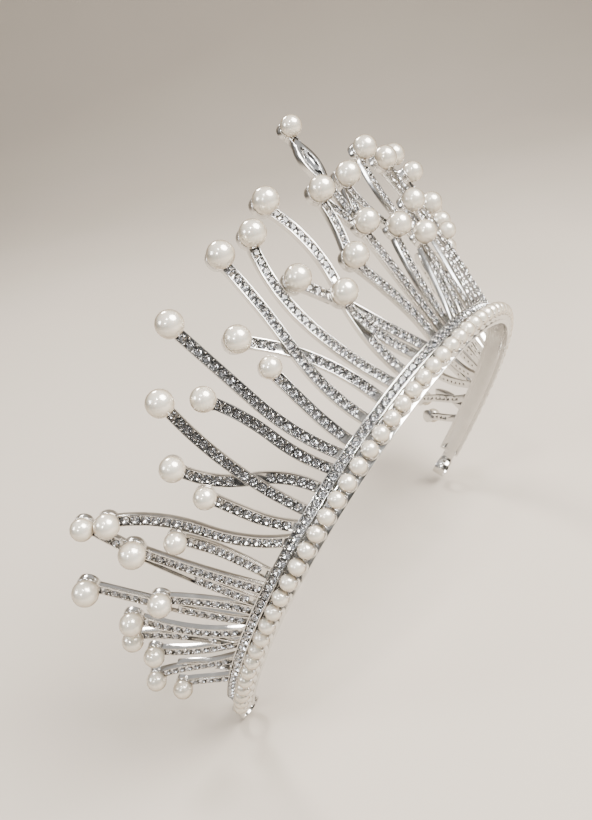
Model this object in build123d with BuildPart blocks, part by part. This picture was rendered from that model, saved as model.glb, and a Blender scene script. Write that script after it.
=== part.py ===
from build123d import *

import os
from collections import namedtuple
from functools import lru_cache
from math import atan2, ceil, copysign, cos, floor, hypot, radians, sin, sqrt

# Bridal tiara, in millimetres. The band stands on Z = 0 with its front towards -Y, and the origin is
# the middle of its front, half way through the wall, on the lower edge. "along" is a distance along
# the row of band pearls from the middle of the front, positive towards +X. "reach" is a distance
# outwards from the middle of the band's wall.

# Band: an open horseshoe, a tight arc round the front and two flatter arcs at the sides.
band_front_radius = 73.5
band_front_half_angle = 75.0
band_side_radius = 87.0
band_wall = 1.2
band_end_margin = 2.6
block_depth = 2.05
block_gap = 0.4
groove_depth = 0.4
groove_edge = 0.9

# Band pearls and their cups.
band_pearl_radius = 2.3
band_pearl_gap = 0.4
band_pearl_count = 59
cup_rim = 0.08
cup_depth = 1.55

# Stones, the channels that hold them and the seat hole behind each one.
stone_radius = 1.15
stone_table_radius = 0.68
stone_culet_radius = 0.15
stone_crown = 0.45
stone_girdle = 0.1
stone_back = 0.85
stone_sink = 0.2
stone_gap = 0.3
band_stone_gap = 0.35
channel_clearance = 0.05
rail_width = 0.3
rail_height = 0.95
seat_clearance = 0.04
seat_depth = 0.4

# Stems: channels that lean outwards by the flare and stand on the band's top face.
flare = 28.0
stem_floor = 0.8
stem_foot_reach = 0.58
stem_foot_height = 3.8
stem_root = 2.0
foot_margin = 0.4
joint_gap = 0.05
smallest_offcut = 4.0

# Tip pearls, their dishes and the pegs that hold every pearl.
large_pearl_radius = 3.6
medium_pearl_radius = 3.3
small_pearl_radius = 3.0
dish_radius_share = 0.88
dish_height_share = 0.53
dish_floor = 0.4
pearl_clearance = 0.05
peg_radius = 0.4
peg_length = 1.6
peg_clearance = 0.2

# Spear: the tallest stem, with a pointed-oval head for one long crystal.
head_height = 62.5
head_length = 15.0
head_width = 6.4
crystal_length = 9.6
crystal_width = 3.4
crystal_height = 1.6
crystal_bevel = 0.6

# End loops: a tab at each end of the band and a ring rolled from flat strip.
tab_length = 3.5
tab_low = 1.2
loop_radius = 4.0
loop_wall = 0.7
loop_width = 4.5

# Worked out from the sizes above.
half_wall = band_wall / 2
band_pearl_pitch = 2 * band_pearl_radius + band_pearl_gap
band_pearl_height = band_pearl_radius + 0.15
band_pearl_reach = half_wall + pearl_clearance + band_pearl_radius
pearl_line_front_radius = band_front_radius + band_pearl_reach
pearl_line_side_radius = band_side_radius + band_pearl_reach
front_length = pearl_line_front_radius * radians(band_front_half_angle)
band_half_length = band_pearl_pitch * (band_pearl_count - 1) / 2 + band_end_margin
cup_radius = band_pearl_radius + cup_rim
channel_half_width = stone_radius + channel_clearance
half_width = channel_half_width + rail_width
stone_pitch = 2 * stone_radius + stone_gap
band_stone_pitch = 2 * stone_radius + band_stone_gap
girdle_height = stone_back - stone_sink
stem_depth = stem_floor + rail_height
seat_radius = (
    stone_culet_radius
    + (stone_radius - stone_culet_radius) * stone_sink / stone_back
    + seat_clearance
)
block_low = 2 * band_pearl_radius + block_gap
band_height = block_low + 2 * half_width
block_reach = half_wall + block_depth
block_floor_reach = block_reach - rail_height
stone_row_height = band_height - half_width
loop_station = band_half_length + tab_length + loop_radius
wall_bite = band_wall / 4
from_base = (Align.CENTER, Align.CENTER, Align.MIN)

Stem = namedtuple("Stem", "name foot root foot_lean tip height tip_lean pearl")
Piece = namedtuple("Piece", "start heading length curvature")

# One side of the tiara, front stems first: a stem is cut where it meets one that is listed before it.
# foot and tip are distances along the band, and height is measured up the flare, where the band's top
# is at stem_foot_height. A lean is in degrees away from the middle, and root is where a stem starts.
side_stems = [
    Stem("01", 4.6, stem_root, -6, 10.0, 35.0, 20, large_pearl_radius),
    Stem("03", 12.4, stem_root, 32, 19.4, 30.0, -6, large_pearl_radius),
    Stem("07", 38.2, stem_root, 12, 33.0, 58.6, -5, large_pearl_radius),
    Stem("09", 49.2, stem_root, 16, 49.0, 57.6, -6, large_pearl_radius),
    Stem("12", 66.6, stem_root, 6, 61.8, 49.2, -18, large_pearl_radius),
    Stem("05", 25.0, stem_root, 20, 25.4, 56.6, -28, large_pearl_radius),
    Stem("04", 20.6, stem_root, 12, 18.2, 60.4, 22, large_pearl_radius),
    Stem("08", 45.6, stem_root, 5, 43.8, 32.0, -8, small_pearl_radius),
    Stem("10", 53.6, stem_root, 16, 57.0, 41.0, 14, medium_pearl_radius),
    Stem("13", 70.4, stem_root, 26, 74.6, 28.4, 0, small_pearl_radius),
    Stem("14", 74.4, stem_root, 34, 88.9, 47.2, 34, medium_pearl_radius),
    Stem("15", 87.4, stem_root, -10, 86.8, 30.0, 12, small_pearl_radius),
    Stem("16", 91.5, stem_root, 6, 93.0, 38.8, -2, large_pearl_radius),
    Stem("18", 99.2, stem_root, 2, 104.6, 28.0, 20, medium_pearl_radius),
    Stem("20", 106.2, stem_root, 36, 113.4, 33.8, -6, medium_pearl_radius),
    Stem("21", 110.8, stem_root, 44, 125.3, 26.2, 14, small_pearl_radius),
    Stem("23", 118.2, stem_root, 50, 139.6, 25.4, 48, small_pearl_radius),
    Stem("25", 130.4, stem_root, 44, 142.4, 17.6, 40, small_pearl_radius),
    Stem("02", 8.2, stem_root, 24, 25.6, 41.0, 32, large_pearl_radius),
    Stem("06", 31.4, stem_root, -2, 43.8, 42.6, 36, large_pearl_radius),
    Stem("11", 59.8, stem_root, -2, 72.2, 38.8, 0, medium_pearl_radius),
    Stem("17", 96.4, stem_root, 0, 91.4, 52.6, -12, small_pearl_radius),
    Stem("19", 102.8, stem_root, 14, 106.8, 47.2, 2, large_pearl_radius),
    Stem("22", 114.4, stem_root, -6, 120.2, 32.6, 26, small_pearl_radius),
    Stem("24", 9.0, 37.0, -28, 5.0, 54.2, 2, large_pearl_radius),
]
centre_stem = Stem("centre", 0.0, stem_root, 0, 0.0, 40.4, 0, large_pearl_radius)
spear_stem = Stem("spear", 0.0, 42.0, 0, 0.0, 73.0, 0, small_pearl_radius)

# Short stems without a pearl: a fork above the centre dish and a brace near the end of the band.
short_stems = [
    Stem("fork", 1.2, 42.0, 20, 4.6, 52.0, 14, 0),
    Stem("brace", 126.0, stem_root, -4, 131.0, 19.0, 36, 0),
]


def outward(along):
    """Horizontal unit vector that points out of the band at a distance along it."""
    on_front = min(abs(along), front_length) / pearl_line_front_radius
    on_side = max(0.0, abs(along) - front_length) / pearl_line_side_radius
    turn = copysign(on_front + on_side, along)
    return Vector(sin(turn), -cos(turn), 0)


def band_point(along, reach, height=0.0):
    """A point at a distance along the pearl row, a reach outwards from the wall and a height."""
    centre = Vector(0, band_front_radius, height)
    radius = band_front_radius
    if abs(along) > front_length:
        edge = copysign(front_length, along)
        centre += outward(edge) * (band_front_radius - band_side_radius)
        radius = band_side_radius
    return centre + outward(along) * (radius + reach)


def band_plane(along, reach, height):
    """A plane that faces out of the band, with Y up."""
    out = outward(along)
    return Plane(origin=band_point(along, reach, height), x_dir=Vector(0, 0, 1).cross(out), z_dir=out)


def band_edge(reach, half_length, backwards=False):
    """One long edge of the band's plan, as three arcs, for the line that is open."""
    middle = (front_length + half_length) / 2
    marks = [-half_length, -middle, -front_length, 0, front_length, middle, half_length]
    if backwards:
        marks.reverse()
    points = [band_point(along, reach) for along in marks]
    for first in (0, 2, 4):
        ThreePointArc(*points[first : first + 3])


def band_plan(low_reach, high_reach, half_length):
    """The band's plan between two reaches, with square ends, for the sketch that is open."""
    with BuildLine() as outline:
        band_edge(high_reach, half_length)
        Line(band_point(half_length, high_reach), band_point(half_length, low_reach))
        band_edge(low_reach, half_length, backwards=True)
        Line(band_point(-half_length, low_reach), band_point(-half_length, high_reach))
    make_face(outline.edges())


def flank_point(along, height):
    """A point on the flared surface that the stems' backs lie on."""
    slope = radians(flare)
    climb = height - stem_foot_height
    return band_point(along, stem_foot_reach + climb * sin(slope), band_height + climb * cos(slope))


def flank_normal(along):
    """Unit vector that points out of the flared surface."""
    slope = radians(flare)
    return outward(along) * cos(slope) - Vector(0, 0, sin(slope))


@lru_cache(maxsize=None)
def stem_plane(stem):
    """The plane of a stem's back: origin at its foot and Y straight towards its tip."""
    start = flank_point(stem.foot, stem.root)
    end = flank_point(stem.tip, stem.height)
    chord = (end - start).normalized()
    normal = flank_normal(stem.foot) + flank_normal(stem.tip)
    normal = (normal - chord * normal.dot(chord)).normalized()
    return Plane(origin=start, x_dir=chord.cross(normal), z_dir=normal)


def arc_piece(start, end, heading=None, end_heading=None):
    """The arc between two points that leaves at one heading or arrives at the other."""
    chord = hypot(end[0] - start[0], end[1] - start[1])
    slant = atan2(end[0] - start[0], end[1] - start[1])
    half_turn = slant - heading if end_heading is None else end_heading - slant
    length = chord
    if abs(half_turn) > 1e-4:
        length = chord * half_turn / sin(half_turn)
    return Piece(start, slant - half_turn, length, 2 * half_turn / length)


@lru_cache(maxsize=None)
def stem_path(stem):
    """Two tangent arcs from a stem's foot to its tip, in its own plane."""
    span = (flank_point(stem.tip, stem.height) - flank_point(stem.foot, stem.root)).length
    slant = atan2(stem.tip - stem.foot, stem.height - stem.root)
    first = radians(stem.foot_lean) - slant
    last = radians(stem.tip_lean) - slant
    rise = span * (cos(first) + cos(last))
    spread = 1 - cos(first - last)
    if spread < 1e-6:
        handle = span * span / (2 * rise)
    else:
        handle = (sqrt(rise * rise + 2 * spread * span * span) - rise) / (2 * spread)
    middle_x = handle * (sin(first) - sin(last)) / 2
    middle_y = (span + handle * (cos(first) - cos(last))) / 2
    middle = (middle_x, middle_y)
    lower = arc_piece((0.0, 0.0), middle, heading=first)
    upper = arc_piece(middle, (0.0, span), end_heading=last)
    return (lower, upper)


def piece_point(piece, distance, side=0.0):
    """A point at a distance from the start of a piece, moved sideways by side."""
    heading = piece.heading + piece.curvature * distance
    x, y = piece.start
    if abs(piece.curvature) < 1e-5:
        x += distance * sin(heading)
        y += distance * cos(heading)
    else:
        x += (cos(piece.heading) - cos(heading)) / piece.curvature
        y += (sin(heading) - sin(piece.heading)) / piece.curvature
    return (x + side * cos(heading), y - side * sin(heading))


def path_length(path):
    return sum(piece.length for piece in path)


def path_point(path, distance):
    """A point at a distance along a path."""
    for piece in path[:-1]:
        if distance <= piece.length:
            return piece_point(piece, distance)
        distance -= piece.length
    return piece_point(path[-1], distance)


def path_start(path, length):
    """The first part of a path, up to a length."""
    kept = []
    for piece in path:
        if length > rail_width:
            kept.append(piece._replace(length=min(length, piece.length)))
        length -= piece.length
    return kept


def strip_edge(piece, side, backwards=False):
    """One edge of a strip beside a piece of its path, for the line that is open."""
    marks = [piece_point(piece, share * piece.length, side) for share in (0, 0.5, 1)]
    if backwards:
        marks.reverse()
    if abs(piece.curvature) < 1e-4:
        Line(marks[0], marks[2])
    else:
        ThreePointArc(*marks)


def strip_face(path, side):
    """The face of a strip that runs side to each side of a path, for the sketch that is open."""
    first, last = path[0], path[-1]
    with BuildLine() as outline:
        for piece in path:
            strip_edge(piece, side)
        Line(piece_point(last, last.length, side), piece_point(last, last.length, -side))
        for piece in reversed(path):
            strip_edge(piece, -side, backwards=True)
        Line(piece_point(first, 0, -side), piece_point(first, 0, side))
    make_face(outline.edges())


def pointed_oval(length, width):
    """A pointed oval with its long axis along Y, for the sketch that is open."""
    with BuildLine() as outline:
        ThreePointArc((0, -length / 2), (width / 2, 0), (0, length / 2))
        ThreePointArc((0, length / 2), (-width / 2, 0), (0, -length / 2))
    make_face(outline.edges())


def dish_radius(stem):
    return stem.pearl * dish_radius_share


def stem_tip(stem):
    path = stem_path(stem)
    return piece_point(path[-1], path[-1].length)


def spot(stem, x, y, lift):
    """The location of a point over a stem's back, with Z out of it."""
    plane = stem_plane(stem)
    return Plane(plane.from_local_coords((x, y, lift)), x_dir=plane.x_dir, z_dir=plane.z_dir)


def mirrored(plane):
    """The same place on the other side of the tiara, for round things."""
    origin, x_dir, z_dir = (
        Vector(-vector.X, vector.Y, vector.Z) for vector in (plane.origin, plane.x_dir, plane.z_dir)
    )
    return Plane(origin, x_dir=x_dir, z_dir=z_dir)


@lru_cache(maxsize=None)
def path_marks(stem):
    path = stem_path(stem)
    steps = ceil(path_length(path) / rail_width)
    return [path_point(path, path_length(path) * step / steps) for step in range(steps + 1)]


def in_the_way(point, stem):
    """Whether a stone centred at a point would meet a stem or its dish."""
    local = stem_plane(stem).to_local_coords(point)
    near = min(hypot(local.X - x, local.Y - y) for x, y in path_marks(stem))
    if near < half_width + stone_radius + joint_gap:
        return True
    tip_x, tip_y = stem_tip(stem)
    clear = dish_radius(stem) + stone_radius + rail_width
    if stem.name == "spear":
        along_head = abs(local.Y - (head_height - stem.root)) < head_length / 2
        if along_head and abs(local.X) < head_width / 2 + stone_radius:
            return True
    return stem.pearl > 0 and hypot(local.X - tip_x, local.Y - tip_y) < clear


@lru_cache(maxsize=None)
def stem_seats(stem, fronts):
    """Places of a stem's stones in its plane: evenly spaced, and clear of the stems in front."""
    plane = stem_plane(stem)
    path = stem_path(stem)
    lowest = band_height + stone_radius + foot_margin
    top = path_length(path) - (dish_radius(stem) + channel_half_width if stem.pearl else 0.0)
    seats = []
    distance = top
    while distance > 0:
        x, y = path_point(path, distance)
        point = plane.from_local_coords((x, y, stem_floor))
        over_foot = plane.from_local_coords((x, y, stem_depth)).Z > lowest
        head_gap = abs(y - (head_height - stem.root)) - head_length / 2
        on_head = stem.name == "spear" and head_gap < stone_radius / 2
        blocked = any(in_the_way(point, front) for front in fronts)
        if over_foot and not on_head and not blocked:
            seats.append((x, y))
        distance -= stone_pitch
    return tuple(seats)


def stem_cutter(stem):
    """What a stem takes out of the stems behind it: its outline, a joint gap wider."""
    plane = stem_plane(stem)
    with BuildPart() as cutter:
        with BuildSketch(plane.offset(-stem_depth)):
            strip_face(stem_path(stem), half_width + joint_gap)
            if stem.pearl:
                with Locations(stem_tip(stem)):
                    Circle(dish_radius(stem) + joint_gap)
            if stem.name == "spear":
                with Locations((0, head_height - stem.root)):
                    add(head_outline(head_length + joint_gap, head_width + 2 * joint_gap))
        extrude(amount=3 * stem_depth)
    return cutter.part


def head_outline(length, width):
    with BuildSketch() as outline:
        pointed_oval(length, width)
    return outline.sketch


def boxes_meet(one, other):
    lows = [max(a, b) for a, b in zip(one.min, other.min)]
    highs = [min(a, b) for a, b in zip(one.max, other.max)]
    return all(low < high for low, high in zip(lows, highs))


def make_stem(stem, fronts, cutters):
    """One stem: a railed channel with a hole behind each stone, ending in a dish with a peg."""
    plane = stem_plane(stem)
    path = stem_path(stem)
    tip = stem_tip(stem)
    if stem.pearl:
        path = path_start(path, path_length(path) - 0.8 * dish_radius(stem))
    seats = stem_seats(stem, fronts)
    with BuildPart() as body:
        with BuildSketch(plane):
            strip_face(path, half_width)
        extrude(amount=stem_depth)
        with BuildSketch(plane.offset(stem_floor)):
            strip_face(path, channel_half_width)
        extrude(amount=stem_depth, mode=Mode.SUBTRACT)
        if seats:
            with BuildSketch(plane):
                with Locations(*seats):
                    Circle(seat_radius)
            extrude(amount=stem_floor, mode=Mode.SUBTRACT)
        if stem.name == "spear":
            head_plane = spot(stem, 0, head_height - stem.root, 0)
            with BuildSketch(head_plane):
                pointed_oval(head_length, head_width)
            extrude(amount=stem_depth)
            with BuildSketch(head_plane.offset(stem_floor)):
                pointed_oval(crystal_length + 4 * channel_clearance, crystal_width + 2 * channel_clearance)
            extrude(amount=stem_depth, mode=Mode.SUBTRACT)
        if stem.pearl:
            with BuildSketch(plane):
                with Locations(tip):
                    Circle(dish_radius(stem))
            extrude(amount=stem.pearl * dish_height_share)
            with Locations(spot(stem, *tip, dish_floor + pearl_clearance + stem.pearl)):
                Sphere(stem.pearl + pearl_clearance, mode=Mode.SUBTRACT)
            with BuildSketch(plane):
                with Locations(tip):
                    Circle(peg_radius)
            extrude(amount=dish_floor + peg_length)
        box = body.part.bounding_box()
        for cutter in cutters:
            if boxes_meet(box, cutter.bounding_box()):
                add(cutter, mode=Mode.SUBTRACT)
        if stem.root == stem_root:
            split(bisect_by=Plane.XY.offset(band_height), keep=Keep.TOP)
    return [solid for solid in body.part.solids() if solid.volume > smallest_offcut]


def make_pearl(radius):
    """A pearl centred on the origin, with a blind hole for its peg from below."""
    with BuildPart() as pearl:
        Sphere(radius)
        with BuildSketch(Plane.XY.offset(-radius - pearl_clearance)):
            Circle(peg_radius + pearl_clearance)
        extrude(amount=peg_length + peg_clearance, mode=Mode.SUBTRACT)
    return pearl.part.solid()


def write(shapes, name):
    """Writes one node, as one solid or as several separate ones."""
    node = shapes[0] if len(shapes) == 1 else Compound(shapes)
    node.label = name
    export_step(node, os.path.join("parts", name + ".step"))


os.makedirs("parts", exist_ok=True)

# Stone: a cone down to a small culet, a thin girdle and a cone up to the table.
stone_profile = [
    (0, -stone_back),
    (stone_culet_radius, -stone_back),
    (stone_radius, 0),
    (stone_radius, stone_girdle),
    (stone_table_radius, stone_girdle + stone_crown),
    (0, stone_girdle + stone_crown),
]
with BuildPart() as stone:
    with BuildSketch(Plane.XZ):
        with BuildLine():
            Polyline(*stone_profile, close=True)
        make_face()
    revolve(axis=Axis.Z)

# Band, with its cups and the pegs in them.
first_pearl = -band_pearl_pitch * (band_pearl_count - 1) / 2
pearl_stations = [first_pearl + number * band_pearl_pitch for number in range(band_pearl_count)]
stone_intervals = floor(2 * (band_half_length - half_width) / band_stone_pitch)
first_stone = -stone_intervals * band_stone_pitch / 2
stone_stations = [first_stone + number * band_stone_pitch for number in range(stone_intervals + 1)]
cup_planes = [
    band_plane(along, half_wall - wall_bite, band_pearl_height) for along in pearl_stations
]
pearl_planes = [band_plane(along, band_pearl_reach, band_pearl_height) for along in pearl_stations]
seat_planes = [
    band_plane(along, block_floor_reach - seat_depth, stone_row_height) for along in stone_stations
]
with BuildPart() as band:
    with BuildSketch():
        band_plan(-half_wall, half_wall, band_half_length)
    extrude(amount=band_height)
    with BuildSketch(Plane.XY.offset(block_low)):
        band_plan(0, block_reach, band_half_length)
    extrude(amount=2 * half_width)
    with BuildSketch(Plane.XY.offset(block_low + rail_width)):
        band_plan(block_floor_reach, block_reach + rail_height, band_half_length - rail_width)
    extrude(amount=2 * channel_half_width, mode=Mode.SUBTRACT)
    with Locations(*seat_planes):
        Cylinder(seat_radius, seat_depth + rail_height, align=from_base, mode=Mode.SUBTRACT)
    for low, high in ((groove_edge, block_low - groove_edge), (block_low, band_height - groove_edge)):
        with BuildSketch(Plane.XY.offset(low)):
            band_plan(-half_wall - groove_depth, -half_wall + groove_depth, band_half_length - 1.0)
        extrude(amount=high - low, mode=Mode.SUBTRACT)
    with Locations(*cup_planes):
        Cylinder(cup_radius, cup_depth + wall_bite, align=from_base)
    with Locations(*pearl_planes):
        Sphere(band_pearl_radius + pearl_clearance / 2, mode=Mode.SUBTRACT)
    with Locations(*cup_planes):
        Cylinder(peg_radius, peg_length + wall_bite, align=from_base)
    with BuildSketch(Plane.XY.offset(tab_low)):
        band_plan(-half_wall, half_wall, loop_station)
    extrude(amount=loop_width)
    with Locations(band_point(-loop_station, 0), band_point(loop_station, 0)):
        Cylinder(loop_radius + joint_gap, band_height, align=from_base, mode=Mode.SUBTRACT)
write([max(band.part.solids(), key=lambda solid: solid.volume)], "band")

# End loops.
with BuildPart() as end_loops:
    with BuildSketch(Plane.XY.offset(tab_low)):
        with Locations(band_point(-loop_station, 0), band_point(loop_station, 0)):
            Circle(loop_radius)
            Circle(loop_radius - loop_wall, mode=Mode.SUBTRACT)
    extrude(amount=loop_width)
write(end_loops.part.solids(), "end_loops")

# Band pearls and band stones.
band_pearl = make_pearl(band_pearl_radius)
write([band_pearl.moved(plane.location) for plane in pearl_planes], "band_pearls")
band_stones = []
for along in stone_stations:
    place = band_plane(along, block_floor_reach + girdle_height, stone_row_height)
    band_stones.append(stone.part.solid().moved(place.location))
write(band_stones, "band_stones")

# Stems, their pearls and their stones. The left side mirrors the right.
tip_pearls = []
stem_stones = []
pearls = {
    radius: make_pearl(radius)
    for radius in (large_pearl_radius, medium_pearl_radius, small_pearl_radius)
}
fronts = ()
cutters = []
braces = []
for stem in [centre_stem, spear_stem] + side_stems + short_stems:
    centred = stem in (centre_stem, spear_stem)
    solids = make_stem(stem, fronts, cutters)
    other_side = [solid.mirror(Plane.YZ) for solid in solids]
    if centred:
        write(solids, "stem_" + stem.name)
    elif stem.pearl:
        write(solids, "stem_right_" + stem.name)
        write(other_side, "stem_left_" + stem.name)
    else:
        braces += solids + other_side
    places = [spot(stem, x, y, stem_floor + girdle_height) for x, y in stem_seats(stem, fronts)]
    if not centred:
        places += [mirrored(place) for place in places]
    stem_stones += [stone.part.solid().moved(place.location) for place in places]
    if stem.pearl:
        place = spot(stem, *stem_tip(stem), dish_floor + pearl_clearance + stem.pearl)
        tip_pearls.append(pearls[stem.pearl].moved(place.location))
        if not centred:
            tip_pearls.append(pearls[stem.pearl].moved(mirrored(place).location))
    fronts += (stem,)
    cutters.append(stem_cutter(stem))
write(braces, "short_stems")
write(tip_pearls, "tip_pearls")
write(stem_stones, "stem_stones")

# Spear crystal: a pointed oval with a bevelled edge.
crystal_plane = spot(spear_stem, 0, head_height - spear_stem.root, stem_floor)
with BuildPart() as spear_crystal:
    with BuildSketch(crystal_plane):
        pointed_oval(crystal_length, crystal_width)
    extrude(amount=crystal_height - crystal_bevel)
    with BuildSketch(crystal_plane.offset(crystal_height - crystal_bevel)):
        pointed_oval(crystal_length, crystal_width)
    with BuildSketch(crystal_plane.offset(crystal_height)):
        pointed_oval(crystal_length - 4 * crystal_bevel, crystal_width - 2 * crystal_bevel)
    loft()
write(spear_crystal.part.solids(), "spear_crystal")
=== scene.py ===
import functools
import math

import bmesh
import bpy
import numpy as np
from bpy.props import FloatProperty, FloatVectorProperty, IntProperty, PointerProperty
from mathutils import Matrix, Vector
from mathutils.bvhtree import BVHTree
from mathutils.kdtree import KDTree


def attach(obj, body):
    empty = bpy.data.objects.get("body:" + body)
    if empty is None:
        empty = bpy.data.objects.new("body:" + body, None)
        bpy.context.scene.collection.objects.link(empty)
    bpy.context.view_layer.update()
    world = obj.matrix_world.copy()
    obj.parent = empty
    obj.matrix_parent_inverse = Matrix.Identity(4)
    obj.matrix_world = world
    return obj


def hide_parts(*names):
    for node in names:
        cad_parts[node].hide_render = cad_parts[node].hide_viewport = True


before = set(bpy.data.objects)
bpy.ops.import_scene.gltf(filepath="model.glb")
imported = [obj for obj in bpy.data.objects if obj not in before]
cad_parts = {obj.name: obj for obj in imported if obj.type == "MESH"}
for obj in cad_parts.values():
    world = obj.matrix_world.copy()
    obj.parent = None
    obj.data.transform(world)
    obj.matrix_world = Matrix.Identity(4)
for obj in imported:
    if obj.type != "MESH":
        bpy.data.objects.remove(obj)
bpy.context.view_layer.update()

bl_info = {
    "name": "Pearl and Crystal Tiara",
    "version": (1, 0, 0),
    "blender": (4, 5, 0),
    "location": "View3D > Sidebar > Tiara",
    "description": "Finishes the frame of a tiara with set stones, pearls and polished metal",
    "category": "Add Mesh",
}

MM = 0.001
PI = math.pi

# Nodes of the frame that hold separate solids of one kind.
STONE_NODES = ("stem_stones", "band_stones")
PEARL_NODES = ("tip_pearls", "band_pearls")
CRYSTAL_NODE = "spear_crystal"
METAL_NODES = [
    name
    for name in sorted(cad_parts)
    if name not in STONE_NODES + PEARL_NODES + (CRYSTAL_NODE,)
]

# How a stone stands in its channel, used to find room for the last stones of each row.
GIRDLE_ABOVE_FLOOR = 0.65 * MM
FLOOR_TOLERANCE = 0.2 * MM
SPARE_FOOTPRINT = 1.0 * MM
SPARE_SAMPLES = 8
SPARE_LOOK = 3.0 * MM
SPARE_ROUNDS = 2

# Distances along a row, as shares of the stones' pitch.
SPARE_STEPS = (1.0, 0.95, 1.06, 1.12)
SPARE_CLEARANCE = 0.9
ROW_REACH = 1.12
GRAIN_REACH = (0.8, 1.05)

# Stones of one row face nearly the same way: the least cosine between their axes.
SAME_ROW_COSINE = 0.9

# Reading the frame's meshes: points closer than this are one corner.
SOLID_WELD = 0.003 * MM
METAL_WELD = 0.002 * MM
SHAPE_WELD = 1e-7
SMALLEST_SOLID = 8

# Rounding of the metal: angles between faces, in radians.
FLAT_ANGLE = math.radians(1.0)
ROUNDED_ANGLE = math.radians(35.0)
SHARP_ANGLE = math.radians(32.0)

# A pearl's points: the outer share that is its ball, and the inner share that is its hole.
BALL_SHARE = 0.93
HOLE_SHARE = 0.9

# The lips of the cups for a pearl of radius 1: inner and outer radius, low and high end.
TIP_LIP = (0.80, 0.888, -0.72, -0.605)
BAND_LIP = (0.945, 1.035, -0.55, -0.36)
PEARL_FIT = 0.999
PEARL_SEED = 3

# The claws of a band pearl of radius 1: how many, the turns from the pearl's back where they
# start and end, their width as a turn and their depth.
CLAW_COUNT = 4
CLAW_TURNS = (math.radians(114), math.radians(72))
CLAW_WIDTH = 0.36
CLAW_DEPTH = 0.09

# The spear's pointed oval, level by level: share of its outline and share of its height.
MARQUISE_LEVELS = ((0.35, 0.0), (1.0, 0.5), (1.0, 0.58), (0.82, 0.8), (0.55, 1.0))
MARQUISE_PLAIN = 1
MARQUISE_CORNERS = 20

# The stage: the floor's upright, and the camera's three directions in the frame.
STAGE_UP = Vector((0.02, -0.90, 0.45)).normalized()
CAMERA_PLACE = Vector((-0.1825, -0.13105, -0.03965))
CAMERA_RIGHT = Vector((0.5633, -0.18942, -0.80424))
CAMERA_UP = Vector((0.48931, -0.70785, 0.50943))
CAMERA_BACK = Vector((-0.66578, -0.68049, -0.30605))
CAMERA_LENS = 35.61
CAMERA_SENSOR = 36.0
CAMERA_CLIP = 0.005

# The floor runs flat towards the back, bends up and goes on as a wall, in metres.
FLOOR_START = -2.0
FLOOR_STEP = 0.1
FLOOR_STEPS = 40
FLOOR_FLAT = 0.7
FLOOR_BEND = 0.6
FLOOR_HALF_WIDTH = 3.0
FLOOR_LANES = 20
FLOOR_GAP = 0.0006

# Lamps: name, distances up, aside and towards the camera, size, power and colour.
LAMP_TARGET = Vector((0.0, 0.02, 0.03))
LAMPS = (
    ("key", (0.62, 0.40, 0.16), 0.60, 13.0, (1.0, 0.98, 0.95)),
    ("fill", (0.32, -0.60, 0.15), 0.22, 1.2, (0.93, 0.96, 1.0)),
    ("rim", (0.50, -0.25, -0.50), 0.20, 3.0, (1.0, 0.98, 0.95)),
    ("glint_high", (0.62, -0.12, 0.34), 0.05, 0.7, (1.0, 1.0, 1.0)),
    ("glint_low", (0.34, -0.28, 0.52), 0.05, 0.6, (1.0, 1.0, 1.0)),
)

# The studio's light by height, from straight down to straight up.
STUDIO_LEVELS = (
    (0.0, (0.02, 0.018, 0.015, 1.0)),
    (0.45, (0.12, 0.10, 0.08, 1.0)),
    (0.75, (1.0, 0.99, 0.97, 1.0)),
)
STUDIO_STRENGTH = 0.5

# The dark patch towards the camera, which pearls and stones mirror in their middles.
PATCH_COSINES = (0.90, 0.985)
PATCH_LEVEL = 0.15

# The band's plan: the centre of its front arc, which every outward direction starts from.
BAND_CENTRE = Vector((0.0, 73.5 * MM, 0.0))
DOWNWARD = Vector((0.0, 0.0, 0.3))
UPRIGHT = Vector((0.0, 0.0, 1.0))


def metres(label, note, size):
    """A length property whose default is given in millimetres."""
    return FloatProperty(
        name=label, description=note, default=size * MM, min=0.0, precision=5,
        subtype="DISTANCE", unit="LENGTH",
    )


def colour(label, note, value):
    return FloatVectorProperty(
        name=label, description=note, default=value, min=0.0, max=1.0, size=3,
        subtype="COLOR",
    )


def share(label, note, value):
    return FloatProperty(
        name=label, description=note, default=value, min=0.0, max=1.0, subtype="FACTOR",
    )


class TiaraSizes(bpy.types.PropertyGroup):
    """Sizes of what is set on the frame."""

    stone_radius: metres("Stone radius", "Radius of a round stone at its girdle", 1.15)
    stone_back: metres("Stone back", "Depth of a stone from its girdle to its culet", 0.85)
    stem_pitch: metres("Stem pitch", "Distance between neighbouring stones on a stem", 2.6)
    grain_radius: metres("Grain radius", "Radius of the metal grains between stones", 0.34)
    grain_side: metres("Grain offset", "Distance of a grain from the row's middle", 0.97)
    bevel: metres("Edge rounding", "Rounding of the edges of the metal strips", 0.09)
    stone_seed: IntProperty(
        name="Stone seed", description="Seed for how each stone is turned", default=7
    )


class TiaraFinishes(bpy.types.PropertyGroup):
    """Colours and finishes of the tiara and its stage."""

    metal: colour("Metal", "Colour of the plated metal", (0.76, 0.745, 0.72))
    metal_roughness: share("Metal roughness", "Roughness of the polished metal", 0.16)
    foil: colour("Foil", "Colour of the foil behind the stones", (0.93, 0.93, 0.94))
    pearl: colour("Pearl", "Body colour of the pearls", (0.92, 0.87, 0.77))
    # Pearl edge: painted shade that darkens the pearls towards their edges, warmed like the
    # nacre's cream overtone.
    pearl_edge_shade: colour(
        "Pearl edge", "Colour the pearls turn to at their edges", (0.38, 0.29, 0.18)
    )
    floor: colour("Floor", "Colour of the floor", (0.56, 0.50, 0.43))


def sizes():
    return bpy.context.scene.tiara_sizes


def finishes():
    return bpy.context.scene.tiara_finishes


# Shader helpers.


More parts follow.
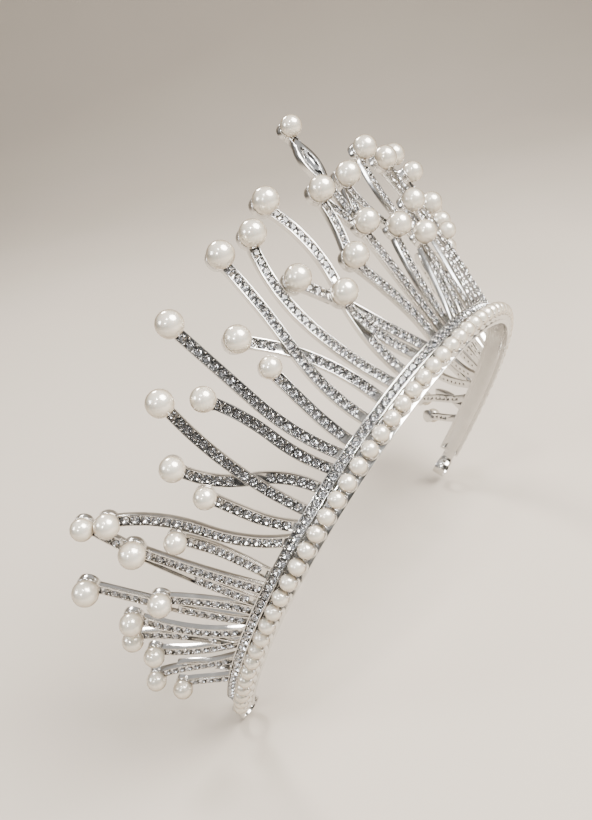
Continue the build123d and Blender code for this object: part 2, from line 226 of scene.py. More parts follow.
def new_material(name):
    """A new node material, with its nodes, links and main shader."""
    material = bpy.data.materials.new(name)
    material.use_nodes = True
    nodes = material.node_tree.nodes
    shader = nodes["Principled BSDF"]
    return material, nodes, material.node_tree.links, shader


def texture_group(name, inputs, outputs):
    """A new shader node group with a vector input and float inputs and outputs."""
    group = bpy.data.node_groups.new(name, "ShaderNodeTree")
    group.interface.new_socket("Vector", in_out="INPUT", socket_type="NodeSocketVector")
    for label, value in inputs:
        socket = group.interface.new_socket(
            label, in_out="INPUT", socket_type="NodeSocketFloat"
        )
        socket.default_value = value
    for label in outputs:
        group.interface.new_socket(label, in_out="OUTPUT", socket_type="NodeSocketFloat")
    nodes = group.nodes
    return group, nodes.new("NodeGroupInput"), nodes.new("NodeGroupOutput")


def polish_group():
    """Cloudy polish, fine casting grain and small pits, as masks and a height."""
    if "polish_marks" in bpy.data.node_groups:
        return bpy.data.node_groups["polish_marks"]
    group, start, end = texture_group(
        "polish_marks",
        (("Cloud Scale", 300.0), ("Grain Scale", 2600.0), ("Low", 0.1), ("High", 0.3)),
        ("Roughness", "Mask", "Height"),
    )
    nodes, links = group.nodes, group.links
    cloud = nodes.new("ShaderNodeTexNoise")
    cloud.inputs["Detail"].default_value = 4.0
    grain = nodes.new("ShaderNodeTexNoise")
    grain.inputs["Detail"].default_value = 2.0
    spread = nodes.new("ShaderNodeMapRange")
    spread.inputs["From Min"].default_value = 0.35
    spread.inputs["From Max"].default_value = 0.68
    links.new(start.outputs["Vector"], cloud.inputs["Vector"])
    links.new(start.outputs["Vector"], grain.inputs["Vector"])
    links.new(start.outputs["Cloud Scale"], cloud.inputs["Scale"])
    links.new(start.outputs["Grain Scale"], grain.inputs["Scale"])
    links.new(cloud.outputs["Fac"], spread.inputs["Value"])
    links.new(start.outputs["Low"], spread.inputs["To Min"])
    links.new(start.outputs["High"], spread.inputs["To Max"])
    links.new(spread.outputs["Result"], end.inputs["Roughness"])
    links.new(cloud.outputs["Fac"], end.inputs["Mask"])
    links.new(grain.outputs["Fac"], end.inputs["Height"])
    return group


def add_polish(nodes, links, cloud, grain, low, high):
    """Places the polish group in a material, on Object coordinates."""
    place = nodes.new("ShaderNodeTexCoord")
    marks = nodes.new("ShaderNodeGroup")
    marks.node_tree = polish_group()
    links.new(place.outputs["Object"], marks.inputs["Vector"])
    marks.inputs["Cloud Scale"].default_value = cloud
    marks.inputs["Grain Scale"].default_value = grain
    marks.inputs["Low"].default_value = low
    marks.inputs["High"].default_value = high
    return marks


def tinted(nodes, links, mask, dark, light):
    """A colour between dark and light, chosen by a mask."""
    mix = nodes.new("ShaderNodeMix")
    mix.data_type = "RGBA"
    mix.inputs["A"].default_value = (*dark, 1.0)
    mix.inputs["B"].default_value = (*light, 1.0)
    links.new(mask, mix.inputs["Factor"])
    return mix.outputs["Result"]


def bumped(nodes, links, height, strength, distance):
    """A normal that follows a height, whose distance is in metres."""
    bump = nodes.new("ShaderNodeBump")
    bump.inputs["Strength"].default_value = strength
    bump.inputs["Distance"].default_value = distance
    links.new(height, bump.inputs["Height"])
    return bump.outputs["Normal"]


def metal_material():
    """Bright plating with cloudy polish and a fine grain."""
    if "plated_metal" in bpy.data.materials:
        return bpy.data.materials["plated_metal"]
    material, nodes, links, shader = new_material("plated_metal")
    tone = Vector(finishes().metal)
    rough = finishes().metal_roughness
    marks = add_polish(
        nodes, links, cloud=260.0, grain=2400.0, low=rough * 0.6, high=rough * 1.7
    )
    base = tinted(nodes, links, marks.outputs["Mask"], dark=tone * 0.9, light=tone * 1.06)
    normal = bumped(nodes, links, marks.outputs["Height"], strength=0.12, distance=0.04 * MM)
    links.new(base, shader.inputs["Base Color"])
    links.new(marks.outputs["Roughness"], shader.inputs["Roughness"])
    links.new(normal, shader.inputs["Normal"])
    shader.inputs["Metallic"].default_value = 1.0
    return material


def foil_material():
    """Mirror foil on the backs of the stones."""
    if "stone_foil" in bpy.data.materials:
        return bpy.data.materials["stone_foil"]
    material, nodes, links, shader = new_material("stone_foil")
    tone = Vector(finishes().foil)
    marks = add_polish(nodes, links, cloud=420.0, grain=3000.0, low=0.03, high=0.12)
    base = tinted(nodes, links, marks.outputs["Mask"], dark=tone * 0.8, light=tone)
    links.new(base, shader.inputs["Base Color"])
    links.new(marks.outputs["Roughness"], shader.inputs["Roughness"])
    shader.inputs["Metallic"].default_value = 1.0
    return material


def crystal_material():
    """Clear cut crystal."""
    if "cut_crystal" in bpy.data.materials:
        return bpy.data.materials["cut_crystal"]
    material, nodes, links, shader = new_material("cut_crystal")
    marks = add_polish(nodes, links, cloud=350.0, grain=2800.0, low=0.0, high=0.03)
    base = tinted(
        nodes, links, marks.outputs["Mask"], dark=(0.95, 0.96, 0.98), light=(1.0, 1.0, 1.0)
    )
    links.new(base, shader.inputs["Base Color"])
    links.new(marks.outputs["Roughness"], shader.inputs["Roughness"])
    shader.inputs["Metallic"].default_value = 0.0
    shader.inputs["Transmission Weight"].default_value = 1.0
    shader.inputs["IOR"].default_value = 1.56
    return material


def pearl_material():
    """Imitation nacre: a glossy cream body with painted shade that darkens it at its edges,
    warmed like the nacre's overtone.
    """
    if "pearl_nacre" in bpy.data.materials:
        return bpy.data.materials["pearl_nacre"]
    material, nodes, links, shader = new_material("pearl_nacre")
    body = Vector(finishes().pearl)
    marks = add_polish(nodes, links, cloud=180.0, grain=1500.0, low=0.16, high=0.26)
    cloudy = tinted(nodes, links, marks.outputs["Mask"], dark=body * 0.97, light=body * 1.04)
    # Painted shade: the body colour turns to the darker edge colour as the surface turns away
    # from the view, partly a warm nacre overtone.
    facing = nodes.new("ShaderNodeLayerWeight")
    facing.inputs["Blend"].default_value = 0.5
    mix = nodes.new("ShaderNodeMix")
    mix.data_type = "RGBA"
    links.new(facing.outputs["Facing"], mix.inputs["Factor"])
    links.new(cloudy, mix.inputs["A"])
    mix.inputs["B"].default_value = (*finishes().pearl_edge_shade, 1.0)
    links.new(mix.outputs["Result"], shader.inputs["Base Color"])
    links.new(marks.outputs["Roughness"], shader.inputs["Roughness"])
    normal = bumped(nodes, links, marks.outputs["Height"], strength=0.08, distance=0.03 * MM)
    links.new(normal, shader.inputs["Normal"])
    shader.inputs["Metallic"].default_value = 0.3
    shader.inputs["Specular IOR Level"].default_value = 0.8
    shader.inputs["Coat Weight"].default_value = 1.0
    shader.inputs["Coat IOR"].default_value = 1.8
    shader.inputs["Coat Roughness"].default_value = 0.07
    shader.inputs["Subsurface Weight"].default_value = 0.12
    shader.inputs["Subsurface Radius"].default_value = (0.8 * MM, 0.6 * MM, 0.5 * MM)
    shader.inputs["Subsurface Scale"].default_value = 1.0
    return material


def floor_material():
    """Matt paper that is clear from behind, so it hides no view from below."""
    material, nodes, links, shader = new_material("floor_paper")
    tone = Vector(finishes().floor)
    marks = add_polish(nodes, links, cloud=9.0, grain=400.0, low=0.65, high=0.8)
    base = tinted(nodes, links, marks.outputs["Mask"], dark=tone * 0.97, light=tone * 1.02)
    links.new(base, shader.inputs["Base Color"])
    links.new(marks.outputs["Roughness"], shader.inputs["Roughness"])
    side = nodes.new("ShaderNodeNewGeometry")
    clear = nodes.new("ShaderNodeBsdfTransparent")
    mix = nodes.new("ShaderNodeMixShader")
    links.new(side.outputs["Backfacing"], mix.inputs["Fac"])
    links.new(shader.outputs["BSDF"], mix.inputs[1])
    links.new(clear.outputs["BSDF"], mix.inputs[2])
    links.new(mix.outputs["Shader"], nodes["Material Output"].inputs["Surface"])
    return material


# Reading the places of stones and pearls from the frame.


def separate_solids(name):
    """The corner points of each separate solid of a node, as arrays."""
    copy = bmesh.new()
    copy.from_mesh(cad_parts[name].data)
    bmesh.ops.remove_doubles(copy, verts=copy.verts, dist=SOLID_WELD)
    copy.verts.ensure_lookup_table()
    seen = [False] * len(copy.verts)
    solids = []
    for vertex in copy.verts:
        if seen[vertex.index]:
            continue
        seen[vertex.index] = True
        waiting = [vertex]
        points = []
        while waiting:
            here = waiting.pop()
            points.append(tuple(here.co))
            for edge in here.link_edges:
                other = edge.other_vert(here)
                if not seen[other.index]:
                    seen[other.index] = True
                    waiting.append(other)
        if len(points) > SMALLEST_SOLID:
            solids.append(np.array(points))
    copy.free()
    return solids


def outward_from(point):
    """Roughly the way out of the tiara at a point: away from its middle and slightly down."""
    out = Vector(point) - BAND_CENTRE
    out.z = 0.0
    out.normalize()
    return (out - DOWNWARD).normalized()


def stone_places(name, back):
    """Girdle centre and axis of each stone of a node."""
    places = []
    for points in separate_solids(name):
        middle = (points.max(axis=0) + points.min(axis=0)) / 2
        spread = points - points.mean(axis=0)
        axis = Vector(np.linalg.eigh(spread.T @ spread)[1][:, 0])
        if axis.dot(outward_from(middle)) < 0:
            axis.negate()
        heights = spread @ np.array(axis)
        centre = Vector(points.mean(axis=0)) + axis * (float(heights.min()) + back)
        places.append((centre, axis.normalized()))
    return places


def pearl_places(name):
    """Centre, axis away from the drilled hole and radius of each pearl of a node."""
    places = []
    for points in separate_solids(name):
        centre = (points.max(axis=0) + points.min(axis=0)) / 2
        # Each pass fits a ball to the outer points, and so sorts out the hole's points better.
        for _ in range(3):
            away = np.linalg.norm(points - centre, axis=1)
            shell = points[away > BALL_SHARE * away.max()]
            system = np.c_[2 * shell, np.ones(len(shell))]
            answer = np.linalg.lstsq(system, (shell ** 2).sum(axis=1), rcond=None)[0]
            centre = answer[:3]
        away = np.linalg.norm(points - centre, axis=1)
        radius = float(away.max())
        hole = points[away < HOLE_SHARE * radius].mean(axis=0)
        axis = Vector(centre - hole).normalized()
        places.append((Vector(centre), axis, radius))
    return places


def facing(axis, upright):
    """Turn that points Z along an axis, with Y as near to upright as it goes."""
    z = axis.normalized()
    x = upright.cross(z).normalized()
    y = z.cross(x)
    return Matrix((x, y, z)).transposed().to_quaternion()


# Meshes for the set pieces, each about its own origin with Z out of the tiara.


def finished_mesh(shape, name, smooth=True):
    """Welds a bmesh, turns its faces outward and makes it a mesh."""
    bmesh.ops.remove_doubles(shape, verts=shape.verts, dist=SHAPE_WELD)
    bmesh.ops.recalc_face_normals(shape, faces=shape.faces)
    for face in shape.faces:
        face.smooth = smooth
    mesh = bpy.data.meshes.new(name)
    shape.to_mesh(mesh)
    shape.free()
    return mesh


def ring_of(shape, count, radius, height, shift=0.0):
    """Corner points evenly round the axis, turned by a share of their spacing."""
    ring = []
    for number in range(count):
        angle = 2 * PI * (number + shift) / count
        ring.append(
            shape.verts.new((radius * math.cos(angle), radius * math.sin(angle), height))
        )
    return ring


def lathe(profile, turns, name):
    """A closed turned shape from (radius, height) pairs, ended on the axis or as a ring."""
    shape = bmesh.new()
    rings = []
    for radius, height in profile:
        if radius == 0.0:
            rings.append([shape.verts.new((0.0, 0.0, height))] * turns)
        else:
            rings.append(ring_of(shape, turns, radius, height))
    for low, high in zip(rings, rings[1:]):
        for number in range(turns):
            after = (number + 1) % turns
            corners = dict.fromkeys((low[number], low[after], high[after], high[number]))
            if len(corners) > 2:
                shape.faces.new(list(corners))
    return finished_mesh(shape, name)


def brilliant_mesh():
    """A round brilliant of radius 1: table, stars, kites and girdle, then the foiled back."""
    shape = bmesh.new()
    table = ring_of(shape, 8, radius=0.59, height=0.478)
    middle = ring_of(shape, 8, radius=0.82, height=0.31, shift=0.5)
    girdle = ring_of(shape, 16, radius=1.0, height=0.087)
    lower = ring_of(shape, 16, radius=1.0, height=0.0)
    back = ring_of(shape, 8, radius=0.46, height=-0.42, shift=0.5)
    culet = shape.verts.new((0.0, 0.0, -0.735))
    foiled = []
    shape.faces.new(table)
    for number in range(8):
        after = (number + 1) % 8
        left, mid, right = 2 * number, 2 * number + 1, (2 * number + 2) % 16
        shape.faces.new((table[number], middle[number], table[after]))
        shape.faces.new((table[number], middle[number - 1], girdle[left], middle[number]))
        shape.faces.new((middle[number], girdle[left], girdle[mid]))
        shape.faces.new((middle[number], girdle[mid], girdle[right]))
        foiled.append(shape.faces.new((lower[left], lower[mid], back[number])))
        foiled.append(shape.faces.new((lower[mid], lower[right], back[number])))
        foiled.append(shape.faces.new((culet, back[number - 1], lower[left], back[number])))
    for number in range(16):
        after = (number + 1) % 16
        edge = (girdle[number], lower[number], lower[after], girdle[after])
        foiled.append(shape.faces.new(edge))
    for face in foiled:
        face.material_index = 1
    return finished_mesh(shape, "brilliant", smooth=False)


def pearl_mesh():
    """A pearl of radius 1 with the drilled hole at its back."""
    hole_radius, hole_end, mouth_radius, mouth_height = 0.12, -0.62, 0.14, -0.96
    profile = [(0.0, hole_end), (hole_radius, hole_end), (hole_radius, mouth_height)]
    start = PI - math.asin(mouth_radius)
    steps = 22
    for step in range(steps):
        angle = start * (1 - step / steps)
        profile.append((math.sin(angle), math.cos(angle)))
    profile.append((0.0, 1.0))
    return lathe(profile, turns=36, name="pearl")


def lip_mesh(inner, outer, low, high):
    """A rounded lip that runs round the edge of a cup."""
    middle = (inner + outer) / 2
    half = (outer - inner) / 2
    steps = 6
    profile = [(outer, low)]
    for step in range(steps + 1):
        angle = PI * step / steps
        profile.append((middle + half * math.cos(angle), high + half * math.sin(angle)))
    profile.append((inner, low))
    profile.append((outer, low))
    return lathe(profile, turns=40, name="lip")


def grain_mesh():
    """A bead of metal on a short post."""
    profile = [(0.0, -2.2), (0.9, -2.2), (0.95, -0.2), (0.85, 0.35), (0.5, 0.8), (0.0, 1.0)]
    return lathe(profile, turns=10, name="grain")


def claw_mesh(count, start, stop, width, depth):
    """Claws that lie on a pearl of radius 1, from one angle off its axis to a smaller one."""
    shape = bmesh.new()
    rows = 6
    foot, tip_half, tip_depth = 0.985, 0.012, 0.006
    for number in range(count):
        turn = 2 * PI * (number + 0.5) / count
        sections = []
        for row in range(rows + 1):
            part = row / rows
            angle = start + (stop - start) * part
            half = width * math.sqrt(max(0.0, 1 - part ** 3)) * 0.5 + tip_half
            top = 1.0 + depth * math.sqrt(max(0.0, 1 - part ** 2.5)) + tip_depth
            shoulder = top - 0.02
            outline = ((-1, foot), (-0.8, shoulder), (0, top), (0.8, shoulder), (1, foot))
            section = []
            for side, reach in outline:
                spin = turn + side * half
                section.append(
                    shape.verts.new(
                        (
                            reach * math.sin(angle) * math.cos(spin),
                            reach * math.sin(angle) * math.sin(spin),
                            reach * math.cos(angle),
                        )
                    )
                )
            sections.append(section)
        for one, two in zip(sections, sections[1:]):
            for spot in range(5):
                after = (spot + 1) % 5
                shape.faces.new((one[spot], one[after], two[after], two[spot]))
        shape.faces.new(sections[0])
        shape.faces.new(sections[-1])
    return finished_mesh(shape, "claws")


# Geometry Nodes that set a piece on every point of a row.


def named_value(nodes, name, kind):
    """A node that reads a named attribute."""
    value = nodes.new("GeometryNodeInputNamedAttribute")
    value.data_type = kind
    value.inputs["Name"].default_value = name
    return value


def live(sockets, name):
    """The socket of this name that a node's present type uses."""
    return [socket for socket in sockets if socket.enabled and socket.name == name][0]


def setting_tree():
    """Sets a piece on each point, sized and turned by the point's own values.

    Faces of the piece with material index 1 get the back material, the others the front one.
    """
    if "set_pieces" in bpy.data.node_groups:
        return bpy.data.node_groups["set_pieces"]
    tree = bpy.data.node_groups.new("set_pieces", "GeometryNodeTree")
    for label, kind in (
        ("Geometry", "NodeSocketGeometry"),
        ("Piece", "NodeSocketObject"),
        ("Size Factor", "NodeSocketFloat"),
        ("Random Turn", "NodeSocketFloat"),
        ("Seed", "NodeSocketInt"),
        ("Front Material", "NodeSocketMaterial"),
        ("Back Material", "NodeSocketMaterial"),
    ):
        tree.interface.new_socket(label, in_out="INPUT", socket_type=kind)
    tree.interface.new_socket("Geometry", in_out="OUTPUT", socket_type="NodeSocketGeometry")
    nodes, links = tree.nodes, tree.links
    start = nodes.new("NodeGroupInput")
    end = nodes.new("NodeGroupOutput")
    piece = nodes.new("GeometryNodeObjectInfo")
    place = nodes.new("GeometryNodeInstanceOnPoints")
    size = named_value(nodes, "piece_size", "FLOAT")
    turn = named_value(nodes, "piece_turn", "QUATERNION")
    scale = nodes.new("ShaderNodeMath")
    scale.operation = "MULTIPLY"
    chance = nodes.new("FunctionNodeRandomValue")
    chance.data_type = "FLOAT"
    spin = nodes.new("FunctionNodeAxisAngleToRotation")
    spin.inputs["Axis"].default_value = (0.0, 0.0, 1.0)
    rotate = nodes.new("FunctionNodeRotateRotation")
    rotate.rotation_space = "LOCAL"
    realize = nodes.new("GeometryNodeRealizeInstances")
    index = nodes.new("GeometryNodeInputMaterialIndex")
    is_back = nodes.new("FunctionNodeCompare")
    is_back.data_type = "INT"
    is_back.operation = "EQUAL"
    front = nodes.new("GeometryNodeSetMaterial")
    back = nodes.new("GeometryNodeSetMaterial")
    mark = nodes.new("GeometryNodeStoreNamedAttribute")
    mark.data_type = "BOOLEAN"
    mark.domain = "FACE"
    mark.inputs["Name"].default_value = "piece_back"
    marked = named_value(nodes, "piece_back", "BOOLEAN")
    links.new(start.outputs["Geometry"], place.inputs["Points"])
    links.new(start.outputs["Piece"], piece.inputs["Object"])
    links.new(piece.outputs["Geometry"], place.inputs["Instance"])
    links.new(size.outputs["Attribute"], scale.inputs[0])
    links.new(start.outputs["Size Factor"], scale.inputs[1])
    links.new(scale.outputs["Value"], place.inputs["Scale"])
    links.new(start.outputs["Random Turn"], chance.inputs["Max"])
    chance.inputs["Min"].default_value = 0.0
    links.new(start.outputs["Seed"], chance.inputs["Seed"])
    links.new(live(chance.outputs, "Value"), spin.inputs["Angle"])
    links.new(turn.outputs["Attribute"], rotate.inputs["Rotation"])
    links.new(spin.outputs["Rotation"], rotate.inputs["Rotate By"])
    links.new(rotate.outputs["Rotation"], place.inputs["Rotation"])
    links.new(place.outputs["Instances"], realize.inputs["Geometry"])
    links.new(index.outputs["Material Index"], live(is_back.inputs, "A"))
    live(is_back.inputs, "B").default_value = 1
    links.new(realize.outputs["Geometry"], mark.inputs["Geometry"])
    links.new(is_back.outputs["Result"], mark.inputs["Value"])
    links.new(mark.outputs["Geometry"], front.inputs["Geometry"])
    links.new(start.outputs["Front Material"], front.inputs["Material"])
    links.new(front.outputs["Geometry"], back.inputs["Geometry"])
    links.new(marked.outputs["Attribute"], back.inputs["Selection"])
    links.new(start.outputs["Back Material"], back.inputs["Material"])
    links.new(back.outputs["Geometry"], end.inputs["Geometry"])
    return tree


def set_pieces(
    name, mesh, places, front, back=None, factor=1.0, random_turn=0.0, seed=0
):
    """Sets a mesh on every (centre, turn, size) place and returns it as one plain object."""
    if not places:
        raise RuntimeError(name + " has no place to go")
    points = bpy.data.meshes.new(name + "_points")
    points.from_pydata([place[0] for place in places], [], [])
    size = points.attributes.new("piece_size", "FLOAT", "POINT")
    size.data.foreach_set("value", [place[2] for place in places])
    turn = points.attributes.new("piece_turn", "QUATERNION", "POINT")
    turn.data.foreach_set("value", [part for place in places for part in place[1]])
    if back is not None:
        mesh.materials.append(front)
        mesh.materials.append(back)
    piece = bpy.data.objects.new(name + "_piece", mesh)
    row = bpy.data.objects.new(name + "_row", points)
    bpy.context.scene.collection.objects.link(row)
    tree = setting_tree()
    modifier = row.modifiers.new("Set pieces", "NODES")
    modifier.node_group = tree
    values = {
        "Piece": piece,
        "Size Factor": factor,
        "Random Turn": random_turn,
        "Seed": seed,
        "Front Material": front,
        "Back Material": back or front,
    }
    for socket in tree.interface.items_tree:
        if socket.in_out == "INPUT" and socket.name in values:
            modifier[socket.identifier] = values[socket.name]
    row.update_tag()
    bpy.context.view_layer.update()
    evaluated = row.evaluated_get(bpy.context.evaluated_depsgraph_get())
    result = bpy.data.meshes.new_from_object(evaluated)
    row.modifiers.remove(modifier)
    bpy.data.objects.remove(row)
    bpy.data.objects.remove(piece)
    if not result.polygons:
        raise RuntimeError(name + " came out empty")
    mark = result.attributes.get("piece_back")
    if mark is not None:
        result.attributes.remove(mark)
    result.name = name
    finished = bpy.data.objects.new(name, result)
    bpy.context.scene.collection.objects.link(finished)
    return finished


def belongs(piece, slot, *nodes):
    """Rides a finished piece on the tiara and hides the frame nodes it stands in for."""
    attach(piece, "root")
    if nodes:
        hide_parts(*nodes)


def rounded_copy(name, width):
    """A copy of a metal node with its flat faces joined up and its edges rounded."""
    copy = bmesh.new()
    copy.from_mesh(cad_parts[name].data)
    bmesh.ops.remove_doubles(copy, verts=copy.verts, dist=METAL_WELD)
    bmesh.ops.dissolve_degenerate(copy, edges=copy.edges, dist=METAL_WELD)
    bmesh.ops.dissolve_limit(
        copy, angle_limit=FLAT_ANGLE, verts=copy.verts, edges=copy.edges, delimit={"NORMAL"}
    )
    sharp = [
        edge
        for edge in copy.edges
        if len(edge.link_faces) == 2 and edge.calc_face_angle(0.0) > ROUNDED_ANGLE
    ]
    bmesh.ops.bevel(
        copy, geom=sharp, offset=width, offset_type="OFFSET", segments=2, profile=0.5,
        affect="EDGES", clamp_overlap=True,
    )
    for face in copy.faces:
        face.smooth = True
    mesh = bpy.data.meshes.new(name + "_rounded")
    copy.to_mesh(mesh)
    copy.free()
    mesh.set_sharp_from_angle(angle=SHARP_ANGLE)
    rounded = bpy.data.objects.new(name + "_rounded", mesh)
    bpy.context.scene.collection.objects.link(rounded)
    return rounded


@functools.lru_cache(maxsize=None)
def stone_rows():
    """The places of the stones of each node that holds stones."""
    return {name: stone_places(name, sizes().stone_back) for name in STONE_NODES}


def frame_surface():
    """All metal and pearls of the frame as one surface to measure against."""
    corners, faces = [], []
    for name in METAL_NODES + list(PEARL_NODES):
        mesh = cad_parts[name].data
        first = len(corners)
        corners.extend(vertex.co.copy() for vertex in mesh.vertices)
        faces.extend([first + corner for corner in face.vertices] for face in mesh.polygons)
    return BVHTree.FromPolygons(corners, faces)


def on_channel_floor(surface, centre, axis):
    """Whether a stone here stands on a free channel floor, clear of rails, cups and strips."""
    side = axis.orthogonal().normalized()
    other = axis.cross(side)
    spots = [centre]
    for number in range(SPARE_SAMPLES):
        angle = 2 * PI * number / SPARE_SAMPLES
        outward = side * math.cos(angle) + other * math.sin(angle)
        spots.append(centre + outward * SPARE_FOOTPRINT)
    for spot in spots:
        hit = surface.ray_cast(spot + axis * SPARE_LOOK, -axis, 2 * SPARE_LOOK)[0]
        if hit is None:
            return False
        if abs((hit - spot).dot(axis) + GIRDLE_ABOVE_FLOOR) > FLOOR_TOLERANCE:
            return False
    return True


@functools.lru_cache(maxsize=None)
def spare_places():
    """Places for stones in the short bare stretches at the ends of the stem rows."""
    surface = frame_surface()
    pitch = sizes().stem_pitch
    stones = list(stone_rows()["stem_stones"])
    fixed = [centre for centre, _ in stone_rows()["band_stones"]]
    added = []
    for _ in range(SPARE_ROUNDS):
        tree = point_tree([centre for centre, _ in stones] + fixed)
        found = []
        for number, (centre, axis) in enumerate(stones):
            near = [
                place
                for place, index, _ in tree.find_range(centre, ROW_REACH * pitch)
                if index != number
                and index < len(stones)
                and stones[index][1].dot(axis) > SAME_ROW_COSINE
            ]
            # A stone with one neighbour is the last of its row.
            if len(near) != 1:
                continue
            along = (centre - near[0]).normalized()
            for step in SPARE_STEPS:
                spot = centre + along * (step * pitch)
                others = [place for place, _, _ in tree.find_n(spot, 3)]
                others += [place for place, _ in found]
                clear = all(
                    (spot - other).length > SPARE_CLEARANCE * pitch for other in others
                )
                if clear and on_channel_floor(surface, spot, axis):
                    found.append((spot, axis))
                    break
        stones += found
        added += found
    return added


def point_tree(points):
    """A balanced tree that finds the points near a place."""
    tree = KDTree(len(points))
    for number, point in enumerate(points):
        tree.insert(point, number)
    tree.balance()
    return tree


class TIARA_OT_metal(bpy.types.Operator):
    """Rounds the edges of the band, the stems and the end loops and plates them"""

    bl_idname = "tiara.metal"
    bl_label = "Metalwork"

    def execute(self, context):
        for name in METAL_NODES:
            rounded = rounded_copy(name, sizes().bevel)
            rounded.data.materials.append(metal_material())
            belongs(rounded, "metal", name)
        return {"FINISHED"}


def set_stones(name, places, seed):
    """Sets round brilliants that face along each place's axis."""
    radius = sizes().stone_radius
    seats = [(centre, facing(axis, UPRIGHT), radius) for centre, axis in places]
    return set_pieces(
        name, brilliant_mesh(), seats, crystal_material(), foil_material(),
        random_turn=2 * PI, seed=seed,
    )


class TIARA_OT_stones(bpy.types.Operator):
    """Sets a foiled round brilliant in every seat of the stems and the band"""

    bl_idname = "tiara.stones"
    bl_label = "Stones"

    def execute(self, context):
        seed = sizes().stone_seed
        for name, places in stone_rows().items():
            stones = set_stones(name.replace("_stones", "_brilliants"), places, seed)
            belongs(stones, "crystal", name)
        spares = set_stones("row_end_brilliants", spare_places(), seed + 1)
        belongs(spares, "crystal")
        return {"FINISHED"}


class TIARA_OT_grains(bpy.types.Operator):
    """Raises two grains of metal between every two neighbouring stones"""

    bl_idname = "tiara.grains"
    bl_label = "Grains"

    def execute(self, context):
        side = sizes().grain_side
        nearest, farthest = (reach * sizes().stem_pitch for reach in GRAIN_REACH)
        for name, places in stone_rows().items():
            if name == "stem_stones":
                places = places + spare_places()
            tree = point_tree([centre for centre, _ in places])
            seats = []
            for number, (centre, axis) in enumerate(places):
                for other, index, distance in tree.find_range(centre, farthest):
                    if index <= number or distance < nearest:
                        continue
                    along = (other - centre).normalized()
                    mean = (axis + places[index][1]).normalized()
                    across = mean.cross(along).normalized()
                    turn = facing(mean, along)
                    for sign in (-1, 1):
                        spot = (centre + other) / 2 + across * (sign * side)
                        seats.append((spot, turn, sizes().grain_radius))
            grains = set_pieces(
                name.replace("_stones", "_grains"), grain_mesh(), seats, metal_material()
            )
            belongs(grains, "metal")
        return {"FINISHED"}


class TIARA_OT_pearls(bpy.types.Operator):
    """Seats the pearls of the tips and of the band, with the lips and claws of their cups"""

    bl_idname = "tiara.pearls"
    bl_label = "Pearls"

    def execute(self, context):
        for name in PEARL_NODES:
            seats = [
                (centre, facing(axis, UPRIGHT), radius)
                for centre, axis, radius in pearl_places(name)
            ]
            pearls = set_pieces(
                name.replace("_pearls", "_nacre"), pearl_mesh(), seats, pearl_material(),
                factor=PEARL_FIT, random_turn=2 * PI, seed=PEARL_SEED,
            )
            belongs(pearls, "pearl", name)
            if name == "tip_pearls":
                lip = lip_mesh(*TIP_LIP)
            else:
                lip = lip_mesh(*BAND_LIP)
                claw = claw_mesh(CLAW_COUNT, *CLAW_TURNS, CLAW_WIDTH, CLAW_DEPTH)
                claws = set_pieces("band_claws", claw, seats, metal_material())
                belongs(claws, "metal")
            lips = set_pieces(name.replace("_pearls", "_cup_lips"), lip, seats, metal_material())
            belongs(lips, "metal")
        return {"FINISHED"}


def marquise_mesh(points):
    """The spear's pointed oval, as large as the solid with these corner points."""
    middle = points.mean(axis=0)
    turn = np.linalg.eigh((points - middle).T @ (points - middle))[1]
    long_axis, out = Vector(turn[:, 2]), Vector(turn[:, 0])
    if out.dot(outward_from(middle)) < 0:
        out.negate()
    if long_axis.z < 0:
        long_axis.negate()
    wide = out.cross(long_axis).normalized()
    spans = []
    for axis in (long_axis, wide, out):
        values = points @ np.array(axis)
        spans.append((float(values.min()), float(values.max())))
    (start, end), (left, right), (low, high) = spans
    origin = long_axis * ((end + start) / 2) + wide * ((right + left) / 2) + out * low
    half_length, half_width, height = (end - start) / 2, (right - left) / 2, high - low
    shape = bmesh.new()
    rings = []
    for outline, level in MARQUISE_LEVELS:
        ring = []
        for step in range(MARQUISE_CORNERS):
            angle = 2 * PI * step / MARQUISE_CORNERS
            # The steps at the two points have no width.
            pointed = step % (MARQUISE_CORNERS // 2) == 0
            y = -math.cos(angle)
            x = 0.0 if pointed else (1 - y * y) * math.copysign(1, math.sin(angle))
            spot = (
                origin
                + long_axis * (y * half_length * outline)
                + wide * (x * half_width * outline)
                + out * (level * height)
            )
            ring.append(shape.verts.new(spot))
        rings.append(ring)
    foiled = [shape.faces.new(rings[0])]
    shape.faces.new(rings[-1])
    for level, (lower, upper) in enumerate(zip(rings, rings[1:])):
        for number in range(MARQUISE_CORNERS):
            after = (number + 1) % MARQUISE_CORNERS
            corners = (lower[number], lower[after], upper[after], upper[number])
            # Every level but the girdle is cut in triangles that lean to and fro.
            if level == MARQUISE_PLAIN:
                faces = (corners,)
            elif (number + level) % 2:
                faces = (corners[:3], (corners[0], corners[2], corners[3]))
            else:
                faces = ((corners[0], corners[1], corners[3]), corners[1:])
            made = [shape.faces.new(face) for face in faces]
            if level == 0:
                foiled += made
    for face in foiled:
        face.material_index = 1
    return finished_mesh(shape, "spear_marquise", smooth=False)


class TIARA_OT_spear_crystal(bpy.types.Operator):
    """Cuts the long pointed-oval crystal of the spear"""

    bl_idname = "tiara.spear_crystal"
    bl_label = "Spear crystal"

    def execute(self, context):
        mesh = marquise_mesh(separate_solids(CRYSTAL_NODE)[0])
        mesh.materials.append(crystal_material())
        mesh.materials.append(foil_material())
        crystal = bpy.data.objects.new("spear_marquise", mesh)
        context.scene.collection.objects.link(crystal)
        belongs(crystal, "crystal", CRYSTAL_NODE)
        return {"FINISHED"}


